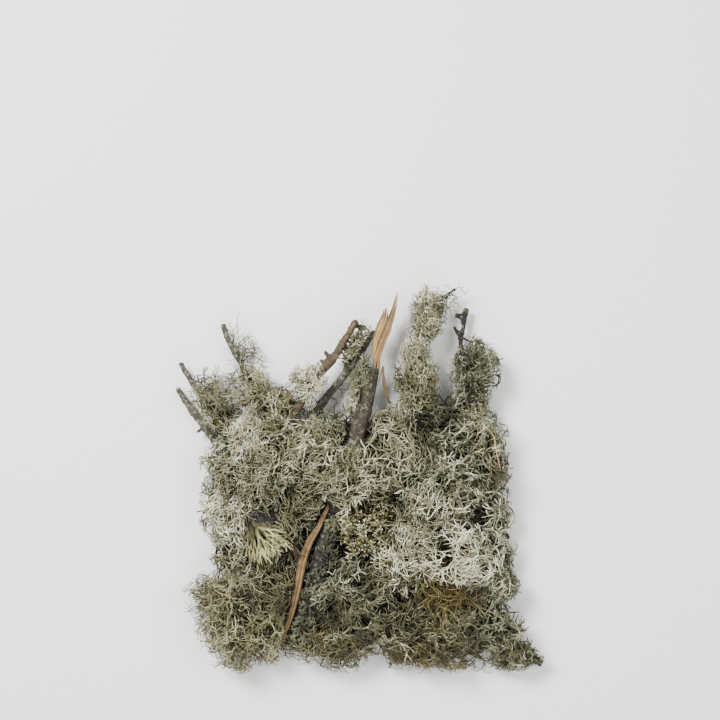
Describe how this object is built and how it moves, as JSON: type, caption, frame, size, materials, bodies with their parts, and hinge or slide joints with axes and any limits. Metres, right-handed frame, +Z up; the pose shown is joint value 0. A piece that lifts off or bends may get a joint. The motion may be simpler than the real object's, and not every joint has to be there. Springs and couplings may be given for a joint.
{
  "type": "lichen-covered twig",
  "caption": "Forked twig with a torn bare-wood tip, its limbs overgrown with antler-like, strap, beard and shield lichens, lying flat on a surface.",
  "frame": {"origin": "the surface that the twig lies on, under the middle of its outline", "axes": "+Z up from the surface, +Y towards the torn tip and across the longest side of the tangle, +X to the right seen from above with the torn tip away from the viewer"},
  "size_m": [0.232, 0.2384, 0.0409],
  "materials": {
    "dark_bark": "rough dark bark",
    "stem_bark": "rough grey-brown bark with pale crust",
    "brown_bark": "smooth brown bark",
    "grey_bark": "thin grey bark",
    "bare_wood": "torn bare wood, orange tan",
    "oakmoss": "dry matt lichen, grey-green to ivory",
    "strap_lichen": "dry matt lichen, pale yellow-green",
    "beard_lichen": "dry matt threads, olive to ochre",
    "shield_lichen": "dry matt lobed crust, grey-green"
  },
  "bodies": {
    "root": {"stem_base": "dark_bark", "stem_middle": "dark_bark", "right_limb": "dark_bark", "right_limb_fork": "dark_bark", "right_limb_side": "dark_bark", "right_limb_low": "dark_bark", "bottom_limb_right": "dark_bark", "bottom_limb_left": "dark_bark", "stem_top": "stem_bark", "brown_limb": "brown_bark", "grey_limb": "grey_bark", "left_limb_low": "grey_bark", "left_limb_high": "grey_bark", "left_limb_back": "grey_bark", "left_limb_side": "grey_bark", "torn_wood_tip": "bare_wood", "peeled_splinter": "bare_wood", "peeled_fibre": "bare_wood", "strap_fan_left": "strap_lichen", "strap_fan_right": "strap_lichen", "leafy_lichen": "strap_lichen", "shield_lichen_stem": "shield_lichen", "shield_lichen_butt": "shield_lichen", "beard_left": "beard_lichen", "beard_hanging": "beard_lichen", "beard_back": "beard_lichen", "beard_big": "beard_lichen", "beard_upper": "beard_lichen", "beard_ochre": "beard_lichen", "beard_bottom_right": "beard_lichen", "beard_bottom_middle": "beard_lichen", "beard_grey_limb": "beard_lichen", "oakmoss_crown": "oakmoss", "oakmoss_upper_right": "oakmoss", "oakmoss_right_edge": "oakmoss", "oakmoss_upper_middle": "oakmoss", "oakmoss_brightest": "oakmoss", "oakmoss_right_lower": "oakmoss", "oakmoss_corner": "oakmoss", "oakmoss_low_middle": "oakmoss", "oakmoss_low_right": "oakmoss", "oakmoss_star": "oakmoss", "oakmoss_middle": "oakmoss", "oakmoss_inner": "oakmoss", "oakmoss_stem_fringe": "oakmoss", "oakmoss_centre_left": "oakmoss", "oakmoss_centre_haze": "oakmoss", "oakmoss_left_middle": "oakmoss", "oakmoss_left_edge": "oakmoss", "oakmoss_left_rise": "oakmoss", "oakmoss_ivory": "oakmoss", "oakmoss_curly": "oakmoss", "oakmoss_left_low": "oakmoss", "oakmoss_under_splinter": "oakmoss", "oakmoss_brush": "oakmoss", "oakmoss_brush_top": "oakmoss", "oakmoss_fork_brush": "oakmoss", "oakmoss_limb_end": "oakmoss", "oakmoss_bud": "oakmoss", "oakmoss_lowest_right": "oakmoss"}
  },
  "joints": []
}
